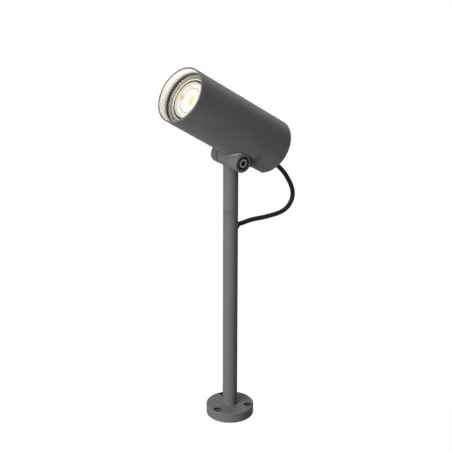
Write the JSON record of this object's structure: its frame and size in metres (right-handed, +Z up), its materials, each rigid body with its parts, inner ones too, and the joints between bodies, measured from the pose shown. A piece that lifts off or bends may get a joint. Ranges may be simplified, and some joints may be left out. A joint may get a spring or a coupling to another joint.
{
  "type": "floor lamp",
  "caption": "Outdoor spotlight on a slim pole with a screw-down round base; its tube head tilts on a clamp knuckle and a cable loops from head to pole.",
  "frame": {"origin": "middle of the round base's underside", "axes": "+Z up, the head looks towards -Y, the tilt axis runs along X"},
  "size_m": [0.075, 0.2086, 0.5094],
  "materials": {
    "powder_coat": "cast and drawn aluminium with a fine-texture anthracite powder coat",
    "steel": "stainless steel, turned",
    "gland_metal": "nickel-plated brass",
    "black_rubber": "matt black rubber",
    "pale_seal": "pale silicone",
    "fibre": "pressed fibre",
    "pale_plastic": "pale satin plastic",
    "grey_plastic": "grey moulded plastic",
    "clear_glass": "clear toughened glass",
    "clear_lens": "lightly frosted lens",
    "lamp_shell": "white-grey satin",
    "board": "white solder mask on aluminium",
    "chip": "yellow phosphor",
    "ceramic": "glazed ceramic",
    "plate": "bare sheet",
    "terminal_plastic": "natural nylon"
  },
  "bodies": {
    "stand": {"base_plate": "powder_coat", "base_grub_screw": "steel", "pole_tube": "powder_coat", "pole_collar": "powder_coat", "knuckle_post": "powder_coat", "stub_grub_screw": "steel", "entry_grommet": "black_rubber", "cable": "black_rubber"},
    "head": {"head_housing": "powder_coat", "rear_cap": "powder_coat", "rear_cap_gasket": "black_rubber", "rear_cap_screws": "steel", "gland_body": "gland_metal", "gland_lock_nut": "gland_metal", "gland_seal": "black_rubber", "gland_nut": "gland_metal", "friction_disc": "fibre", "pivot_screw": "steel", "pivot_spring_washer": "steel", "pivot_flat_washer": "steel", "bezel_ring": "grey_plastic", "lamp_seal": "pale_seal", "lamp_body": "lamp_shell", "lamp_lens": "clear_lens", "lamp_board": "board", "lamp_chips": "chip", "lamp_pins": "steel", "lampholder": "ceramic", "holder_plate": "plate", "plate_screws": "steel", "holder_screws": "steel", "terminal_block": "terminal_plastic", "terminal_screws": "steel"},
    "front": {"front_sleeve": "pale_plastic", "glass_gasket": "pale_seal", "cover_glass": "clear_glass"}
  },
  "joints": [
    {"name": "head_tilt", "type": "hinge", "parent": "stand", "child": "head", "pos_m": [0, 0, 0.3775], "axis": [-1, 0, 0], "range_deg": [-70, 55], "deforming": ["cable"]},
    {"name": "front_unscrew", "type": "slide", "parent": "head", "child": "front", "axis": [0, -0.8192, 0.5736], "range_m": [0, 0.02]}
  ]
}
